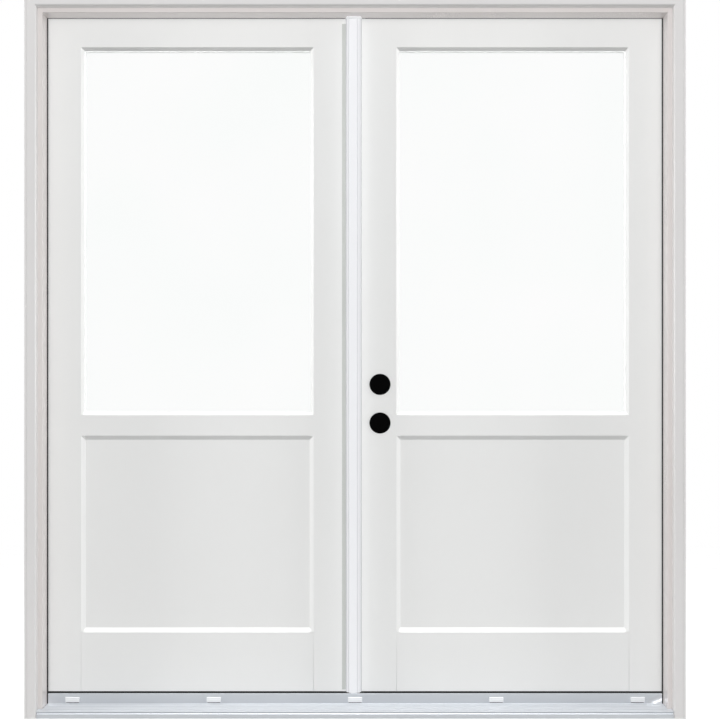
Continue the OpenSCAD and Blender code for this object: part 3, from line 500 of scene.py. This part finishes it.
# %% Round the astragal and the small hardware
softened("astragal", 0.8 * MM)
softened("astragal_web", 0.5 * MM)
softened("astragal_cap", 1.2 * MM)
softened("astragal_trim", 0.6 * MM)
for name in ("top_bolt", "bottom_bolt", "bolt_guides", "head_strike", "sill_strike"):
    softened(name, 0.4 * MM)
for side in ("left_frame", "right_frame", "active", "passive"):
    softened(f"{side}_hinges", 0.4 * MM)
softened("bore_covers", 0.6 * MM, 3)

# %% [markdown]
# ## Room
# The unit stands in a white studio. The room and its floor are white to the eye, also through
# the panes, but give less light than they show, so that they don't wash the mouldings out. One
# function makes such a level for both.

# %% Room
ROOM_SHOWN, ROOM_LIGHT = 1.0, 0.31


def shown(tree, to_eye, to_piece):
    """A level that is to_eye where it is looked at, also through glass, and to_piece where it
    lights a piece."""
    eye, pane = (
        Ink(tree).make("ShaderNodeLightPath", out=f"Is {kind} Ray")
        for kind in ("Camera", "Transmission")
    )
    return eye.math("MAXIMUM", eye, pane) * (to_eye - to_piece) + to_piece


world = bpy.data.worlds.new("studio")
world.use_nodes = True
bpy.context.scene.world = world
background = world.node_tree.nodes["Background"]
background.inputs["Color"].default_value = (1, 1, 1, 1)
level = shown(world.node_tree, ROOM_SHOWN, ROOM_LIGHT)
world.node_tree.links.new(level.socket, background.inputs["Strength"])

# %% [markdown]
# ## Floor
# The floor is matt. It fades into the room some metres off, as a studio's curved backdrop does.

# %% Floor
FLOOR_SHOWN, FLOOR_LIGHT = 0.92, 0.5
FLOOR_ROUGHNESS = 0.8
FLOOR_REACH = 30
FADE_FROM, FADE_TO = 1.0, 5.0
floor_shape = bmesh.new()
bmesh.ops.create_grid(floor_shape, x_segments=2, y_segments=2, size=FLOOR_REACH)
floor_mesh = bpy.data.meshes.new("floor")
floor_shape.to_mesh(floor_mesh)
floor_shape.free()
floor = bpy.data.objects.new("floor", floor_mesh)
bpy.context.scene.collection.objects.link(floor)
floor_paint = bpy.data.materials.new("floor_paint")
floor_paint.use_nodes = True
matt = floor_paint.node_tree.nodes["Principled BSDF"]
matt.inputs["Roughness"].default_value = FLOOR_ROUGHNESS
level = shown(floor_paint.node_tree, FLOOR_SHOWN, FLOOR_LIGHT)
place = level.make("ShaderNodeTexCoord", out="Object")
away = level.make("ShaderNodeVectorMath", {0: place}, out="Value", operation="LENGTH")
near = 1 - (away * (1 / FADE_TO)).step(FADE_FROM / FADE_TO, 1.0)
for name, ink in (("Base Color", level), ("Alpha", near)):
    floor_paint.node_tree.links.new(ink.socket, matt.inputs[name])
floor_mesh.materials.append(floor_paint)


# %% [markdown]
# ## Lamps
# A high far source in front models the mouldings: it lights what faces up and leaves what faces
# down to the floor. It casts no shadow, as if its light came back from many white walls. Two weak
# ones at the sides draw the uprights' arrises, and one behind lights the inner side.


# %% Lamps
AIM = Vector((0, 0, 1.1))


def soft_lamp(name, place, size, watts, shadow=True):
    lamp = bpy.data.lights.new(name, "AREA")
    lamp.shape, lamp.size, lamp.size_y, lamp.energy = "RECTANGLE", *size, watts
    lamp.use_shadow = shadow
    holder = bpy.data.objects.new(name, lamp)
    holder.location = place
    holder.rotation_euler = (AIM - holder.location).to_track_quat("-Z", "Y").to_euler()
    bpy.context.scene.collection.objects.link(holder)
    print("lamp", name, watts, "W")


soft_lamp("front_lamp", (0, -6.3, 10.1), (5, 3), 940, shadow=False)
for name, side in (("left_lamp", -1), ("right_lamp", 1)):
    soft_lamp(name, (6.0 * side, -1.1, 2.2), (1.2, 3.0), 140)
soft_lamp("back_lamp", (0, 6.5, 5.6), (4.5, 2.5), 260)
bpy.context.scene.view_settings.view_transform = "Standard"

# %% [markdown]
# ## Camera
# A level camera about four metres in front, near half the unit's height, keeps the uprights
# upright. The small shift stands for the lens being raised a little, as on a view camera.

# %% Camera
EYE = Vector((0, -4.2286, 0.965))
FOCAL_LENGTH, FILM_WIDTH = 72.5, 36
LENS_SHIFT = (0.0069, 0.0353)
lens = bpy.data.cameras.new("camera")
lens.lens, lens.sensor_width = FOCAL_LENGTH, FILM_WIDTH
lens.shift_x, lens.shift_y = LENS_SHIFT
camera = bpy.data.objects.new("camera", lens)
camera.location = EYE
camera.rotation_euler = (math.radians(90), 0, 0)
bpy.context.scene.collection.objects.link(camera)
bpy.context.scene.camera = camera
print("camera at", [round(v, 3) for v in EYE])

# %% [markdown]
# ## Last update
# The scene is brought up to date at the end.

# %% Update the scene
bpy.context.view_layer.update()
